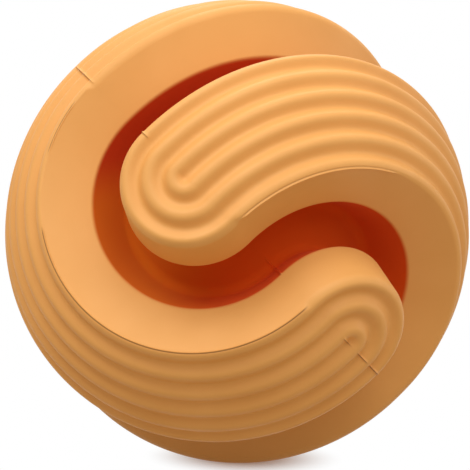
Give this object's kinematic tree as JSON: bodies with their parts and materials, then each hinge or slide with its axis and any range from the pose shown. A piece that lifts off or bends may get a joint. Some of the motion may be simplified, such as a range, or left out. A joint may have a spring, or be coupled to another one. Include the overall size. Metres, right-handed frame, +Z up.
{
  "type": "treat dispensing toy",
  "caption": "Moulded rubber treat ball for a dog: ribbed bands wind around a core, with a deep winding channel between them that grips treats and lets them out as it rolls.",
  "frame": {"origin": "the ball's centre, on the bond plane between the two half balls", "axes": "+Z is up as the ball lies in the picture. Y is a half-turn axis of the ball and lies in the bond plane, with +Y away from the viewer; the bond plane is turned 45 degrees about Y, so that its normal points along +X and +Z alike. X is to the viewer's right."},
  "size_m": [0.0852, 0.0822, 0.0852],
  "materials": {
    "rubber": "matte moulded natural rubber"
  },
  "bodies": {
    "root": {"lower_half_ball": "rubber", "upper_half_ball": "rubber"}
  },
  "joints": []
}
